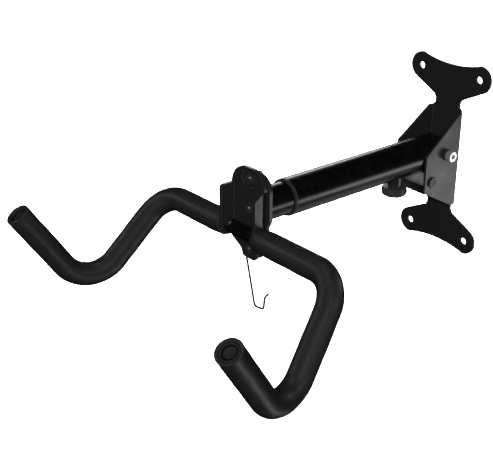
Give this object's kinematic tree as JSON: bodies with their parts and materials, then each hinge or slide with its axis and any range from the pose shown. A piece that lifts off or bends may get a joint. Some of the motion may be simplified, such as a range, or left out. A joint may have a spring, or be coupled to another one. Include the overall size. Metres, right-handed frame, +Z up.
{
  "type": "bicycle wall rack",
  "caption": "Wall rack for a bicycle: bolted wall plate, folding telescopic arm with a clamp knob, and a tilting head with padded hooks for the top tube and a wire helmet hook.",
  "frame": {"origin": "middle of the four wall holes, on the wall plane", "axes": "-Y straight out of the wall along the arm, +Z up, +X to the right for a viewer who faces the wall"},
  "size_m": [0.3986, 0.5025, 0.2398],
  "materials": {
    "black_steel": "semi-gloss black powder coat",
    "zinc_steel": "bright zinc plate",
    "oxide_steel": "black oxide, oiled",
    "plain_steel": "plain turned steel",
    "black_wire": "black coated spring wire",
    "brass": "turned",
    "black_nylon": "moulded, satin",
    "black_plastic": "moulded, fine grain",
    "cap_plastic": "moulded, glossy",
    "foam": "closed-cell foam sleeve, matt"
  },
  "bodies": {
    "wall_bracket": {"wall_plate": "black_steel", "pivot_bolt": "zinc_steel", "pivot_nut": "zinc_steel", "pivot_washers": "oxide_steel", "stop_sleeve": "zinc_steel", "stop_bolt": "oxide_steel", "stop_nut": "oxide_steel"},
    "folding_arm": {"outer_tube": "black_steel", "pivot_bush": "zinc_steel", "knob_boss": "black_steel", "front_bush": "black_nylon"},
    "clamp_pad": {"pressure_pad": "brass"},
    "clamp_screw": {"clamp_knob": "black_plastic", "clamp_stud": "zinc_steel"},
    "slider": {"inner_tube": "black_steel", "tail_guide": "black_nylon", "head_plate": "black_steel", "tilt_bolt": "oxide_steel", "tilt_lock_bolt": "oxide_steel", "tilt_washers": "oxide_steel", "tilt_nuts": "oxide_steel", "tilt_spacers": "zinc_steel"},
    "arm_head": {"arm_bracket": "black_steel", "left_arm_tube": "black_steel", "right_arm_tube": "black_steel", "arm_joiner": "plain_steel", "arm_screws": "oxide_steel", "left_foam_sleeve": "foam", "right_foam_sleeve": "foam", "left_end_cap": "cap_plastic", "right_end_cap": "cap_plastic", "hook_screw": "oxide_steel"},
    "hook": {"helmet_hook": "black_wire"}
  },
  "joints": [
    {"name": "arm_fold", "type": "hinge", "parent": "wall_bracket", "child": "folding_arm", "pos_m": [0, -0.0245, 0.0105], "axis": [-1, 0, 0], "range_deg": [0, 85]},
    {"name": "arm_slide", "type": "slide", "parent": "folding_arm", "child": "slider", "axis": [0, -1, 0], "range_m": [-0.01, 0.03]},
    {"name": "clamp_travel", "type": "slide", "parent": "folding_arm", "child": "clamp_pad", "axis": [0, 0, 1], "range_m": [-0.0025, 0]},
    {"name": "knob_turn", "type": "hinge", "parent": "clamp_pad", "child": "clamp_screw", "pos_m": [0, -0.088, -0.02], "axis": [0, 0, 1], "range_deg": [-700, 0]},
    {"name": "head_tilt", "type": "hinge", "parent": "slider", "child": "arm_head", "pos_m": [0, -0.3105, 0.0105], "axis": [0, 1, 0], "range_deg": [-7, 7]},
    {"name": "hook_swing", "type": "hinge", "parent": "arm_head", "child": "hook", "pos_m": [0, -0.3159, -0.037], "axis": [0, 1, 0], "range_deg": [-35, 35]}
  ],
  "couplings": [
    {"joint": "clamp_travel", "follows": "knob_turn", "m_per_rad": 0.00019894}
  ]
}
